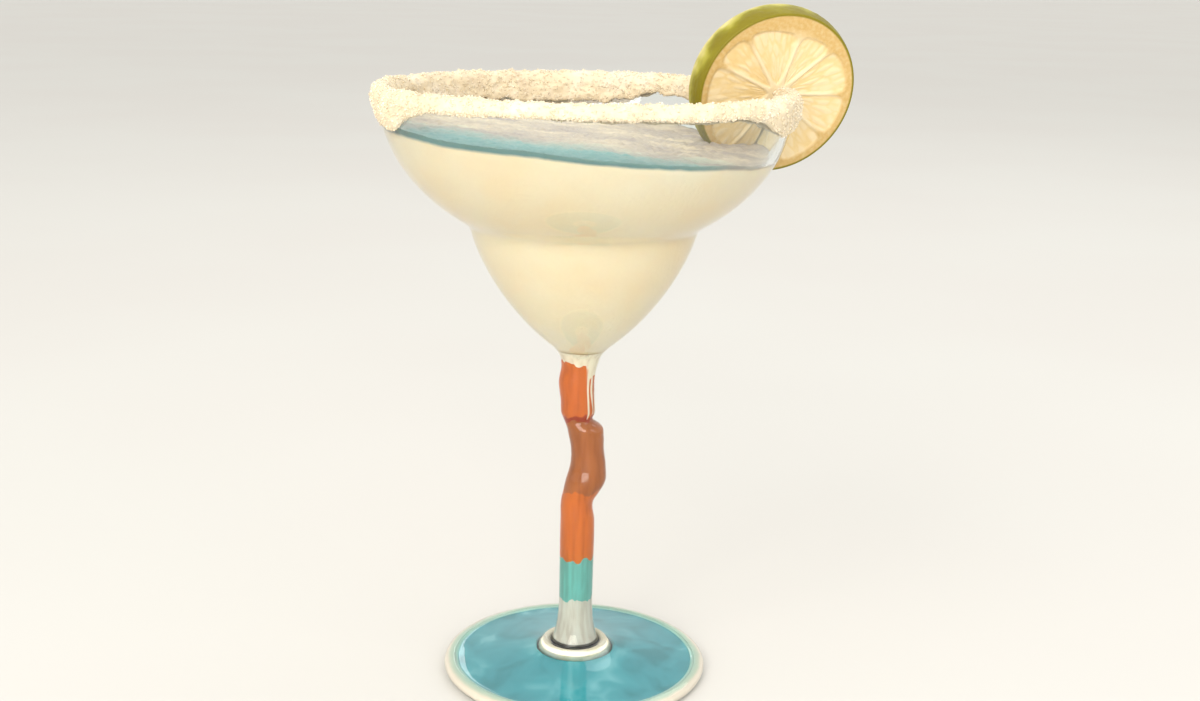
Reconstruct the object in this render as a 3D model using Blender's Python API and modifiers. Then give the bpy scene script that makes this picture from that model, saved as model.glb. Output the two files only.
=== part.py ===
"""A margarita in a hand-blown stemmed glass, with a salted rim and a lime wheel.

Metres, +Z up. The origin is the centre of the foot's flat underside. The glass
was drawn out in one piece, so it is one turned solid with its stem pushed a
little sideways. The drink, the salt crust and the lime wheel are solids of
their own, each a third of a millimetre clear of what it touches.
"""

import math

import bmesh
import bpy
import numpy as np
from mathutils import Matrix, Vector, noise

MM = 0.001
SEGMENTS = 44
GAP = 0.3 * MM

# The two-part bowl
RIM_HEIGHT = 170 * MM
RIM_RADIUS = 57 * MM
WALL = 2 * MM
UPPER_BOWL_DEPTH = 43.9 * MM
UPPER_BOWL_SWEEP = math.radians(49.9)
CREASE = (32.2 * MM, 133.6 * MM)
LOWER_BOWL_TOP = (31.4 * MM, 131 * MM)
LOWER_BOWL_PULLS = ((28.6 * MM, 121.5 * MM), (20.5 * MM, 108.5 * MM))
LOWER_BOWL_END = (9 * MM, 99.4 * MM)
CAVITY_BOTTOM = 98.4 * MM

# The stem, as height, radius and sideways shift in millimetres. It is three
# gathers of glass, with a notch at 77 and another at 52.5.
STEM_STATIONS = (
    (98.0, 7.4, 0.0),
    (94.0, 5.4, -0.3),
    (88.0, 5.15, -1.1),
    (82.0, 4.95, -0.6),
    (79.0, 4.9, -0.5),
    (77.0, 4.2, -0.4),
    (75.0, 5.1, 1.3),
    (72.0, 5.1, 2.0),
    (68.5, 4.8, 2.4),
    (63.0, 5.2, 2.7),
    (58.0, 5.8, 2.0),
    (55.0, 5.3, 0.9),
    (52.5, 4.8, -0.1),
    (46.0, 5.0, 0.0),
    (33.0, 5.0, 0.0),
    (20.0, 4.9, 0.0),
)

# The foot, as radius and height in millimetres from the stem's end outwards:
# a flared stem end, a collar with a groove round it, and a low cone that ends
# in a raised lip
FOOT_OUTLINE = (
    (5.2, 16.0),
    (5.7, 12.6),
    (6.4, 9.8),
    (7.3, 8.3),
    (8.3, 9.0),
    (9.4, 8.6),
    (10.4, 7.0),
    (15.0, 5.7),
    (24.0, 4.3),
    (34.0, 3.2),
    (36.0, 3.6),
    (38.2, 2.9),
    (38.8, 1.8),
    (38.2, 0.5),
    (37.2, 0.0),
)

# The drink, whose slushy top lies higher on the left than on the right
LEVEL_HEIGHT = 158.2 * MM
LEVEL_SLOPE = -0.077
SLUSH_BUMP = 0.7 * MM
SLUSH_SPACING = 13 * MM
STRETCH_FROM = 140 * MM
TOP_RINGS = 5

# The salt crust
CRUST_SEGMENTS = 80
CRUST_OUTSIDE = 1.5 * MM
CRUST_INSIDE = 1.4 * MM
CRUST_TOP = 2.1 * MM
CRUST_DROP = 8 * MM
LUMP = 0.8 * MM
LUMP_SPACING = 5 * MM

# The lime wheel, hung on the rim at the right with its top leaning forwards
LIME_RADIUS = 24.1 * MM
LIME_FACE_RADIUS = 23.3 * MM
LIME_THICKNESS = 9 * MM
LIME_AZIMUTH = math.radians(17)
LIME_LEAN = math.radians(16)
LIME_FROM_AXIS = 54.8 * MM
LIME_HEIGHT = 171.2 * MM
LIME_SEGMENTS = 48
CELLS = 9
CELL_DEPTH = 0.45 * MM
CELL_INNER = 2.4 * MM
CELL_OUTER = 20.4 * MM
MEMBRANE = 1.1 * MM


def clear_scene():
    for obj in list(bpy.data.objects):
        bpy.data.objects.remove(obj, do_unlink=True)


def new_collection(name, shown=True):
    collection = bpy.data.collections.new(name)
    collection.hide_render = not shown
    bpy.context.scene.collection.children.link(collection)
    return collection


def finish(obj, name, colour, roughness, transmission=0.0):
    """Gives an object a material of its own and smooth shading between its edges."""
    material = bpy.data.materials.new(name)
    material.use_nodes = True
    shader = material.node_tree.nodes["Principled BSDF"]
    shader.inputs["Base Color"].default_value = (*colour, 1)
    shader.inputs["Roughness"].default_value = roughness
    shader.inputs["Metallic"].default_value = 0
    shader.inputs["Transmission Weight"].default_value = transmission
    material.diffuse_color = (*colour, 1)
    obj.data.materials.clear()
    obj.data.materials.append(material)
    obj.data.shade_smooth()
    obj.data.set_sharp_from_angle(angle=math.radians(40))


def turned(name, profile, collection, segments=SEGMENTS, closed=False):
    """Turns (radius, height) pairs round Z. A closed profile makes a ring."""
    count = len(profile)
    edges = [(i, (i + 1) % count) for i in range(count if closed else count - 1)]
    mesh = bpy.data.meshes.new(name)
    mesh.from_pydata([(r, 0, z) for r, z in profile], edges, [])
    obj = bpy.data.objects.new(name, mesh)
    collection.objects.link(obj)
    screw = obj.modifiers.new("Turn", "SCREW")
    screw.steps = segments
    screw.render_steps = segments
    screw.use_merge_vertices = True
    screw.merge_threshold = 0.00001
    return obj


def bake(obj):
    """Turns an object's modifiers into its mesh, so that its points can be moved."""
    graph = bpy.context.evaluated_depsgraph_get()
    obj.data = bpy.data.meshes.new_from_object(obj.evaluated_get(graph))
    obj.modifiers.clear()


def move_points(obj, rule):
    """Moves each point to where the rule puts its radius, azimuth and height."""
    for vertex in obj.data.vertices:
        x, y, z = vertex.co
        vertex.co = rule(math.hypot(x, y), math.atan2(y, x), z)


def at_azimuth(radius, azimuth, height):
    return Vector((radius * math.cos(azimuth), radius * math.sin(azimuth), height))


def cut(obj, cutter):
    """Cuts one object from another and hides the cutter."""
    boolean = obj.modifiers.new("Cut", "BOOLEAN")
    boolean.operation = "DIFFERENCE"
    boolean.solver = "EXACT"
    boolean.object = cutter
    cutter.hide_render = True
    cutter.display_type = "WIRE"


def bezier(start, pull_a, pull_b, end, count):
    """Points along a cubic curve, without its start."""
    points = []
    for t in np.linspace(0, 1, count + 1)[1:]:
        weights = ((1 - t) ** 3, 3 * t * (1 - t) ** 2, 3 * t * t * (1 - t), t**3)
        points.append(tuple(np.dot(weights, (start, pull_a, pull_b, end))))
    return points


def bowl_outside():
    """The bowl's outline from just under the rim down to the top of the stem."""
    first = math.asin(WALL / 2 / UPPER_BOWL_DEPTH)
    points = [
        (RIM_RADIUS * math.cos(a), RIM_HEIGHT - UPPER_BOWL_DEPTH * math.sin(a))
        for a in np.linspace(first, UPPER_BOWL_SWEEP, 9)
    ]
    points += bezier(points[-1], CREASE, CREASE, LOWER_BOWL_TOP, 3)
    points += bezier(LOWER_BOWL_TOP, *LOWER_BOWL_PULLS, LOWER_BOWL_END, 6)
    return points


def inset(points, distance):
    """Moves an outline that runs downwards towards the axis, square to itself."""
    slopes = np.gradient(np.array(points), axis=0)
    slopes /= np.linalg.norm(slopes, axis=1)[:, None]
    normals = np.column_stack((slopes[:, 1], -slopes[:, 0]))
    normals[0] = (-1, 0)
    return [tuple(p) for p in np.array(points) + distance * normals]


def bowl_inside(distance):
    """The cavity's outline from the rim to the axis, at a distance from the outside."""
    points = inset(bowl_outside(), distance)
    bottom = CAVITY_BOTTOM + distance - WALL
    return points + bezier(points[-1], (5 * MM, bottom), (2.5 * MM, bottom), (0, bottom), 3)


def radius_at(points, height):
    """The radius of a downward outline at a height."""
    radii, heights = zip(*reversed(points))
    return float(np.interp(height, heights, radii))


def through_stations(column, heights):
    """The stem's radius or shift at these heights, on a smooth curve."""
    known, values = np.array(STEM_STATIONS)[::-1][:, (0, column)].T * MM
    slopes = np.gradient(values, known)
    i = np.clip(np.searchsorted(known, heights) - 1, 0, len(known) - 2)
    span = known[i + 1] - known[i]
    t = np.clip((heights - known[i]) / span, 0, 1)
    from_start = (1 + 2 * t) * (1 - t) ** 2 * values[i] + t * (1 - t) ** 2 * span * slopes[i]
    from_end = t * t * (3 - 2 * t) * values[i + 1] + t * t * (t - 1) * span * slopes[i + 1]
    return from_start + from_end


def stem_outline():
    """The stem's outline, with a point at each station and one between far ones."""
    heights = []
    for upper, lower in zip(STEM_STATIONS[1:-1], STEM_STATIONS[2:]):
        heights.append(upper[0] * MM)
        if upper[0] - lower[0] > 4:
            heights.append((upper[0] + lower[0]) / 2 * MM)
    heights.append(STEM_STATIONS[-1][0] * MM)
    return list(zip(through_stations(1, np.array(heights)), heights))


def rim_arc():
    """The fire-polished rim, from the inner wall over to the outer one."""
    half = WALL / 2
    return [
        (RIM_RADIUS - half - half * math.cos(a), RIM_HEIGHT - half + half * math.sin(a))
        for a in np.linspace(0, math.pi, 5)[1:-1]
    ]


def make_glass(collection):
    outside = bowl_outside()
    stem = stem_outline()
    neck = bezier(outside[-1], (6.8 * MM, 97.6 * MM), (5.6 * MM, 96.2 * MM), stem[0], 3)
    foot = [(r * MM, z * MM) for r, z in FOOT_OUTLINE]
    inside = bowl_inside(WALL)[::-1]
    profile = inside + rim_arc() + outside + neck[:-1] + stem + foot + [(0, 0)]
    obj = turned("glass", profile, collection)
    bake(obj)
    stem_end = STEM_STATIONS[-1][0] * MM
    neck_end = STEM_STATIONS[0][0] * MM
    for vertex in obj.data.vertices:
        if stem_end < vertex.co.z < neck_end:
            vertex.co.x += float(through_stations(2, np.array([vertex.co.z]))[0])
    finish(obj, "clear_glass", (0.62, 0.82, 0.78), 0.05, 0.9)
    return obj


def level_at(x, y):
    """Height of the drink's slushy top."""
    bump = noise.noise(Vector((x, y, 0.02)) / SLUSH_SPACING) * SLUSH_BUMP
    return LEVEL_HEIGHT + LEVEL_SLOPE * x + bump


def make_drink(collection, lime_space):
    wall = bowl_inside(WALL + GAP)
    nominal = radius_at(wall, LEVEL_HEIGHT)
    top = [(nominal * i / TOP_RINGS, LEVEL_HEIGHT) for i in range(TOP_RINGS + 1)]
    below = [point for point in wall if point[1] < LEVEL_HEIGHT - MM]
    obj = turned("margarita", top + below, collection)
    bake(obj)

    def edge_at(azimuth):
        height = LEVEL_HEIGHT
        for _ in range(30):
            height = level_at(*at_azimuth(radius_at(wall, height), azimuth, 0).xy)
        return height

    def to_level(radius, azimuth, height):
        edge = edge_at(azimuth)
        if height > LEVEL_HEIGHT - MM / 100:
            place = at_azimuth(radius / nominal * radius_at(wall, edge), azimuth, 0)
            place.z = level_at(place.x, place.y)
            return place
        if height > STRETCH_FROM:
            share = (height - STRETCH_FROM) / (LEVEL_HEIGHT - STRETCH_FROM)
            height = STRETCH_FROM + share * (edge - STRETCH_FROM)
            radius = radius_at(wall, height)
        return at_azimuth(radius, azimuth, height)

    move_points(obj, to_level)
    cut(obj, lime_space)
    finish(obj, "creamy_drink", (0.99, 0.83, 0.54), 0.35)
    return obj


def crust_section():
    """The crust's hook-shaped section, over the top and down its outer side first."""
    outside = bowl_outside()
    inside = bowl_inside(WALL)
    middle = RIM_RADIUS - WALL / 2
    shoulder = RIM_HEIGHT - 0.2 * MM
    low = RIM_HEIGHT - CRUST_DROP
    outer_low = radius_at(outside, low)
    inner_low = radius_at(inside, low)
    between = RIM_HEIGHT - 0.55 * CRUST_DROP
    half = WALL / 2 + GAP
    over_rim = [
        (middle + half * math.cos(a), RIM_HEIGHT - WALL / 2 + half * math.sin(a))
        for a in np.linspace(0, math.pi, 5)
    ]
    return [
        (middle, RIM_HEIGHT + CRUST_TOP),
        (RIM_RADIUS + 0.7 * CRUST_OUTSIDE, RIM_HEIGHT + 0.5 * CRUST_TOP),
        (RIM_RADIUS + CRUST_OUTSIDE, shoulder - 2 * MM),
        (outer_low + CRUST_OUTSIDE, low + 2 * MM),
        (outer_low + 0.6 * CRUST_OUTSIDE, low),
        (outer_low + GAP, low),
        (radius_at(outside, between) + GAP, between),
        *over_rim,
        (radius_at(inside, between) - GAP, between),
        (inner_low - GAP, low),
        (inner_low - 0.6 * CRUST_INSIDE, low),
        (inner_low - CRUST_INSIDE, low + 2 * MM),
        (RIM_RADIUS - WALL - CRUST_INSIDE, shoulder - 2 * MM),
        (RIM_RADIUS - WALL - 0.7 * CRUST_INSIDE, RIM_HEIGHT + 0.5 * CRUST_TOP),
    ]


def skirt_drop(azimuth, outer):
    """How far the crust reaches down the wall: less in front, and at one place behind."""
    ripple = 0.8 * math.sin(5 * azimuth + 1) + 0.6 * math.sin(11 * azimuth)
    t = min(1.0, max(0.0, (-math.sin(azimuth) - 0.42) / 0.35))
    front = t * t * (3 - 2 * t)
    patch = math.exp(-(((azimuth - math.radians(66)) / math.radians(13)) ** 2))
    if outer:
        return (8.2 - 6.3 * front - 4.6 * patch + ripple * 0.7 * (1 - 0.6 * front)) * MM
    left = math.exp(-((math.sin((azimuth - math.pi) / 2) / 0.5) ** 2))
    return (7.4 - 4.8 * front - 3.6 * patch - 2.2 * left + ripple * 0.3) * MM


def make_salt(collection, lime_space):
    outside = bowl_outside()
    inside = bowl_inside(WALL)
    obj = turned("salt_rim", crust_section(), collection, CRUST_SEGMENTS, closed=True)
    bake(obj)
    rim_start = RIM_HEIGHT - WALL / 2
    middle = RIM_RADIUS - WALL / 2

    def to_crust(radius, azimuth, height):
        outer = radius > radius_at(outside, min(height, rim_start)) - WALL / 2
        wall = outside if outer else inside
        if height < rim_start:
            away = abs(radius - radius_at(wall, height))
        else:
            away = math.hypot(radius - middle, height - rim_start) - WALL / 2
        exposed = away > 1.5 * GAP
        lump = noise.noise(at_azimuth(radius, azimuth, height) / LUMP_SPACING) * LUMP
        if height < rim_start:
            stretch = skirt_drop(azimuth, outer) / CRUST_DROP
            lower = rim_start - (rim_start - height) * stretch
            radius += radius_at(wall, lower) - radius_at(wall, height)
            height = lower
        if exposed:
            sideways = max(-1.0, min(1.0, (radius - middle) / (2 * MM)))
            radius += sideways * lump
            height += (1 - abs(sideways)) * lump
        return at_azimuth(radius, azimuth, height)

    move_points(obj, to_crust)
    cut(obj, lime_space)
    finish(obj, "coarse_salt", (0.99, 0.92, 0.74), 0.6)
    return obj


def hang_on_rim(obj):
    """Puts a wheel made round Z on the rim, its front face turned to the viewer."""
    obj.location = at_azimuth(LIME_FROM_AXIS, LIME_AZIMUTH, LIME_HEIGHT)
    obj.rotation_euler = (math.pi / 2 + LIME_LEAN, 0, LIME_AZIMUTH)


def make_disc(name, collection, grow=0.0):
    """A wheel with a slightly bulging rind, larger all round by grow."""
    half = LIME_THICKNESS / 2 + grow
    edge = LIME_FACE_RADIUS + grow
    bulge = LIME_RADIUS + grow
    shoulder = (edge + 3 * bulge) / 4
    profile = [
        (0, half),
        (edge, half),
        (shoulder, half / 2),
        (bulge, 0),
        (shoulder, -half / 2),
        (edge, -half),
        (0, -half),
    ]
    obj = turned(name, profile, collection, LIME_SEGMENTS)
    hang_on_rim(obj)
    return obj


def cell_outline(middle, half_angle):
    """One juice cell's wedge, with its outer corners rounded."""
    outline = [(CELL_INNER, 0.0)]
    for radius, spread in ((0.5, 1.0), (0.88, 1.0), (0.97, 0.86), (1.0, 0.5), (1.0, 0.0)):
        reach = radius * CELL_OUTER
        outline.append((reach, spread * (half_angle - math.asin(MEMBRANE / 2 / reach))))
    outline += [(reach, -angle) for reach, angle in outline[-2:0:-1]]
    return [(r * math.cos(middle + a), r * math.sin(middle + a)) for r, a in outline]


def make_cell_cutter(collection):
    """Shallow wedges sunk into both faces, as flat outlines given a thickness."""
    curve = bpy.data.curves.new("lime_cells", "CURVE")
    curve.dimensions = "2D"
    curve.fill_mode = "BOTH"
    curve.extrude = CELL_DEPTH
    step = 2 * math.pi / CELLS
    bounds = [i * step + 0.09 * math.sin(2.7 * i) for i in range(CELLS)]
    bounds.append(bounds[0] + 2 * math.pi)
    for start, end in zip(bounds, bounds[1:]):
        outline = cell_outline((start + end) / 2, (end - start) / 2)
        spline = curve.splines.new("POLY")
        spline.points.add(len(outline) - 1)
        for point, (x, y) in zip(spline.points, outline):
            point.co = (x, y, 0, 1)
        spline.use_cyclic_u = True
    guide = bpy.data.objects.new("lime_cells", curve)
    collection.objects.link(guide)
    graph = bpy.context.evaluated_depsgraph_get()
    flat = bpy.data.meshes.new_from_object(guide.evaluated_get(graph))
    bpy.data.objects.remove(guide)
    wedges = bmesh.new()
    for shift in (-LIME_THICKNESS / 2, LIME_THICKNESS):
        flat.transform(Matrix.Translation((0, 0, shift)))
        wedges.from_mesh(flat)
    bmesh.ops.remove_doubles(wedges, verts=wedges.verts, dist=MM / 100)
    bmesh.ops.recalc_face_normals(wedges, faces=wedges.faces)
    mesh = bpy.data.meshes.new("lime_cells_cutter")
    wedges.to_mesh(mesh)
    wedges.free()
    obj = bpy.data.objects.new("lime_cells_cutter", mesh)
    collection.objects.link(obj)
    hang_on_rim(obj)
    return obj


def make_wall_cutter(collection):
    """The bowl's wall with a gap on both sides, which makes the wheel's slot."""
    outside = [p for p in inset(bowl_outside(), -GAP) if p[1] > LOWER_BOWL_TOP[1]]
    inside = [p for p in inset(bowl_outside(), WALL + GAP) if p[1] > LOWER_BOWL_TOP[1]]
    top = [(RIM_RADIUS - WALL - GAP, RIM_HEIGHT + GAP), (RIM_RADIUS + GAP, RIM_HEIGHT + GAP)]
    return turned("wall_cutter", top + outside + inside[::-1], collection, closed=True)


def make_lime(collection, cutters):
    obj = make_disc("lime_wheel", collection)
    cut(obj, make_cell_cutter(cutters))
    cut(obj, make_wall_cutter(cutters))
    finish(obj, "lime_flesh", (0.9, 0.78, 0.38), 0.4)
    return obj


clear_scene()
parts = new_collection("margarita_cocktail")
cutters = new_collection("cutters", shown=False)
lime_space = make_disc("lime_space", cutters, GAP)
make_glass(parts)
make_drink(parts, lime_space)
make_salt(parts, lime_space)
make_lime(parts, cutters)
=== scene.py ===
import math
import random

import bpy
import numpy as np
from mathutils import Matrix, Vector, noise


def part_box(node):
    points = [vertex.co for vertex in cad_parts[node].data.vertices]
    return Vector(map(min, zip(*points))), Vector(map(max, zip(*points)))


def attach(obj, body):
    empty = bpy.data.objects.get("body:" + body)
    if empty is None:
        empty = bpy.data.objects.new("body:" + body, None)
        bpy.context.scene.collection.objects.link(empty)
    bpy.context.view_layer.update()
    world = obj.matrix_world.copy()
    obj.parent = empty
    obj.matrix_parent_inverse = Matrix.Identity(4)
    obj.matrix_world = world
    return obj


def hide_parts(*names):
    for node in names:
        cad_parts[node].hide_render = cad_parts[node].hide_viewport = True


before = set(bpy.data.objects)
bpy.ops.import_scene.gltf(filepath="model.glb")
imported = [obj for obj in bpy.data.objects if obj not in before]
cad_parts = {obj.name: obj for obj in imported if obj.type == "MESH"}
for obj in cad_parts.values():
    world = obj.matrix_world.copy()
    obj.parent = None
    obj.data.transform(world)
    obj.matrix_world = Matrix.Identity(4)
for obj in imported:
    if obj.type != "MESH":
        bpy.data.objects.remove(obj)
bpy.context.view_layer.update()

# The glass. Bowl, stem and foot are one piece of soda-lime glass, blown and drawn
# by hand: a two-part bowl with a 2 mm wall, a stem of three gathers that don't
# quite line up, a collar where the foot was joined, and a thin round foot.
MM = 0.001
TURNS = 176
glass_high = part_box("glass")[1]
RIM_HEIGHT = glass_high.z
RIM_RADIUS = glass_high.x
WALL = 2 * MM
UPPER_BOWL_DEPTH = 43.9 * MM
UPPER_BOWL_SWEEP = math.radians(49.9)
CREASE = (32.2 * MM, 133.6 * MM)
LOWER_BOWL_TOP = (31.4 * MM, 131 * MM)
LOWER_BOWL_PULLS = ((28.6 * MM, 121.5 * MM), (20.5 * MM, 108.5 * MM))
LOWER_BOWL_END = (9 * MM, 99.4 * MM)
CAVITY_BOTTOM = 98.4 * MM
# The stem's height, radius and sideways shift in mm, from the bowl down
STEM_STATIONS = (
    (98.0, 7.4, 0.0),
    (94.0, 5.4, -0.3),
    (88.0, 5.15, -1.1),
    (82.0, 4.95, -0.6),
    (79.0, 4.9, -0.5),
    (77.0, 4.2, -0.4),
    (75.0, 5.1, 1.3),
    (72.0, 5.1, 2.0),
    (68.5, 4.8, 2.4),
    (63.0, 5.2, 2.7),
    (58.0, 5.8, 2.0),
    (55.0, 5.3, 0.9),
    (52.5, 4.8, -0.1),
    (46.0, 5.0, 0.0),
    (33.0, 5.0, 0.0),
    (20.0, 4.9, 0.0),
)
# The foot's radius and height in mm, from the stem's flare out to the lip
FOOT_OUTLINE = (
    (4.9, 20.0),
    (5.2, 16.0),
    (5.7, 12.6),
    (6.4, 9.8),
    (7.3, 8.3),
    (8.3, 9.0),
    (9.4, 8.6),
    (10.4, 7.0),
    (15.0, 5.7),
    (24.0, 4.3),
    (34.0, 3.2),
    (36.0, 3.6),
    (38.2, 2.9),
    (38.8, 1.8),
    (38.2, 0.5),
    (37.2, 0.0),
)
TEAL_TINT = "#b9e4dc"
TINT_STRENGTH = 7


def linear(code):
    """An sRGB hex code as the linear colour that a shader takes."""
    parts = [int(code[i : i + 2], 16) / 255 for i in (1, 3, 5)]
    return [c / 12.92 if c < 0.04045 else ((c + 0.055) / 1.055) ** 2.4 for c in parts] + [1]


def finish_of(name):
    """A new material and its output's surface shader."""
    made = bpy.data.materials.new(name)
    made.use_nodes = True
    return made, made.node_tree.nodes["Principled BSDF"]


def put(material, kind, sockets=None, stops=(), **settings):
    """Adds a node with its settings. A socket takes a value, or the output that feeds it."""
    tree = material.node_tree
    made = tree.nodes.new("ShaderNode" + kind)
    for key, value in settings.items():
        setattr(made, key, value)
    for key, value in (sockets or {}).items():
        if isinstance(value, bpy.types.NodeSocket):
            tree.links.new(value, made.inputs[key])
        else:
            made.inputs[key].default_value = value
    for i, (place, code) in enumerate(stops):
        ramp = made.color_ramp.elements
        stop = ramp[i] if i < 2 else ramp.new(place)
        stop.position = place
        stop.color = linear(code)
    return made


def feed(material, shader, **outputs):
    """Links outputs to the shader's sockets, whose spaces are written as _."""
    for key, output in outputs.items():
        material.node_tree.links.new(output, shader.inputs[key.replace("_", " ")])


def skin(name, rings, loop=False):
    """Joins rings of points into a smooth surface. A ring of one point closes an end."""
    starts = np.cumsum([0] + [len(ring) for ring in rings])
    faces = []
    pairs = [(i, i + 1) for i in range(len(rings) - 1)]
    if loop:
        pairs.append((len(rings) - 1, 0))
    for a, b in pairs:
        many = max(len(rings[a]), len(rings[b]))
        for k in range(many):
            m = (k + 1) % many
            corners = [
                starts[a] + k % len(rings[a]),
                starts[b] + k % len(rings[b]),
                starts[b] + m % len(rings[b]),
                starts[a] + m % len(rings[a]),
            ]
            faces.append(tuple(int(c) for c in dict.fromkeys(corners)))
    mesh = bpy.data.meshes.new(name)
    mesh.from_pydata([tuple(map(float, p)) for ring in rings for p in ring], [], faces)
    mesh.shade_smooth()
    piece = bpy.data.objects.new(name, mesh)
    bpy.context.scene.collection.objects.link(piece)
    return piece


def ring_at(radius, height, shift=0.0, turns=TURNS):
    """A level ring of points, or one point where the radius is nothing."""
    if radius < MM / 1000:
        return [(shift, 0, height)]
    angles = np.linspace(0, 2 * math.pi, turns, endpoint=False)
    return [(shift + radius * math.cos(a), radius * math.sin(a), height) for a in angles]


def bezier(start, pull_a, pull_b, end, count):
    """Points along a cubic curve, without its start."""
    t = np.linspace(0, 1, count + 1)[1:, None]
    a, b, c, d = (np.array(p) for p in (start, pull_a, pull_b, end))
    curve = (1 - t) ** 3 * a + 3 * t * (1 - t) ** 2 * b + 3 * t * t * (1 - t) * c + t**3 * d
    return [tuple(p) for p in curve]


def bowl_outside():
    """The bowl's outline from just under the rim down to the neck."""
    first = math.asin(WALL / 2 / UPPER_BOWL_DEPTH)
    points = [
        (RIM_RADIUS * math.cos(a), RIM_HEIGHT - UPPER_BOWL_DEPTH * math.sin(a))
        for a in np.linspace(first, UPPER_BOWL_SWEEP, 44)
    ]
    points += bezier(points[-1], CREASE, CREASE, LOWER_BOWL_TOP, 10)
    points += bezier(LOWER_BOWL_TOP, *LOWER_BOWL_PULLS, LOWER_BOWL_END, 30)
    return points


def inset(points, distance):
    """Moves an outline that runs down towards the axis, square to itself."""
    slopes = np.gradient(np.array(points), axis=0)
    slopes /= np.linalg.norm(slopes, axis=1)[:, None]
    normals = np.column_stack((slopes[:, 1], -slopes[:, 0]))
    normals[0] = (-1, 0)
    return [tuple(p) for p in np.array(points) + distance * normals]


def bowl_inside(distance):
    """The cavity's outline, at a distance from the bowl's outside."""
    points = inset(bowl_outside(), distance)
    bottom = CAVITY_BOTTOM + distance - WALL
    return points + bezier(points[-1], (5 * MM, bottom), (2.5 * MM, bottom), (0, bottom), 10)


def radius_at(points, height):
    """The radius of a downward outline at a height or heights."""
    radii, heights = zip(*reversed(points))
    return np.interp(height, heights, radii)


def stem_at(column, height):
    """The stem's radius (1) or sideways shift (2) at a height, on a smooth curve."""
    known, values = np.array(STEM_STATIONS)[::-1][:, (0, column)].T * MM
    slopes = np.gradient(values, known)
    i = np.clip(np.searchsorted(known, height) - 1, 0, len(known) - 2)
    span = known[i + 1] - known[i]
    t = np.clip((height - known[i]) / span, 0, 1)
    start = (1 + 2 * t) * (1 - t) ** 2 * values[i] + t * (1 - t) ** 2 * span * slopes[i]
    end = t * t * (3 - 2 * t) * values[i + 1] + t * t * (t - 1) * span * slopes[i + 1]
    return float(start + end)


def foot_curve(steps):
    """The foot's outline, rounded through its named points."""
    known = np.array(FOOT_OUTLINE) * MM
    padded = np.vstack((2 * known[0] - known[1], known, 2 * known[-1] - known[-2]))
    curve = []
    for before, a, b, after in zip(padded, padded[1:], padded[2:], padded[3:]):
        for t in np.linspace(0, 1, steps, endpoint=False):
            pull = (b - before) * t + (2 * before - 5 * a + 4 * b - after) * t * t
            pull += (3 * a - before - 3 * b + after) * t**3
            curve.append(tuple(a + pull / 2))
    return curve + [tuple(known[-1])]


def stem_side():
    """The stem's outline from the bowl's end down to where the foot flares out."""
    heights = np.linspace(STEM_STATIONS[1][0], STEM_STATIONS[-1][0], 130) * MM
    stem = [(stem_at(1, z), z) for z in heights]
    neck = bezier(LOWER_BOWL_END, (6.8 * MM, 97.6 * MM), (5.6 * MM, 96.2 * MM), stem[0], 10)
    flare = [p for p in foot_curve(6) if p[0] < FOOT_OUTLINE[4][0] * MM]
    return neck[:-1] + stem[:-1] + flare


def sideways(height):
    """How far the stem is off the axis at a height."""
    in_stem = STEM_STATIONS[-1][0] * MM < height < STEM_STATIONS[0][0] * MM
    return stem_at(2, height) if in_stem else 0.0


def blow_glass():
    """Rings from the cavity's bottom up, over the rim and down to the foot's underside."""
    outside = bowl_outside()
    half = WALL / 2
    rim = [
        (RIM_RADIUS - half - half * math.cos(a), RIM_HEIGHT - half + half * math.sin(a))
        for a in np.linspace(0, math.pi, 14)[1:-1]
    ]
    foot = [p for p in foot_curve(6) if p[0] >= FOOT_OUTLINE[4][0] * MM]
    rings = [ring_at(r, z) for r, z in bowl_inside(WALL)[::-1] + rim + outside]
    rings += [ring_at(r, z, sideways(z)) for r, z in stem_side()]
    rings += [ring_at(r, z) for r, z in foot + [(18 * MM, 0), (0, 0)]]
    return skin("margarita_glass", rings)


def blown_glass():
    """Soda-lime glass, blown and fire-polished: clear and wet-looking, with a faint teal
    tint that gathers at edges, and slow waves about 14 mm apart from the blowing."""
    made, shader = finish_of("blown_glass")
    shader.inputs["Base Color"].default_value = linear("#fbfffe")
    shader.inputs["Transmission Weight"].default_value = 1
    shader.inputs["IOR"].default_value = 1.5
    where = put(made, "TexCoord").outputs["Object"]
    waves = put(made, "TexNoise", {"Vector": where, "Scale": 1 / (14 * MM), "Detail": 1.0})
    wavy = put(made, "Bump", {"Height": waves.outputs[0], "Strength": 0.12, "Distance": MM})
    seeds = put(made, "TexNoise", {"Vector": where, "Scale": 1 / (2 * MM), "Detail": 2.0})
    handled = {"Value": seeds.outputs[0], "To Min": 0.0, "To Max": 0.03}
    smudge = put(made, "MapRange", handled)
    feed(made, shader, Normal=wavy.outputs[0], Roughness=smudge.outputs[0])
    tint = {"Color": linear(TEAL_TINT), "Density": TINT_STRENGTH}
    deep = put(made, "VolumeAbsorption", tint)
    output = made.node_tree.nodes["Material Output"]
    made.node_tree.links.new(deep.outputs[0], output.inputs["Volume"])
    return made


glass = blow_glass()
glass.data.materials.append(blown_glass())
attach(glass, "root")
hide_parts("glass")

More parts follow.
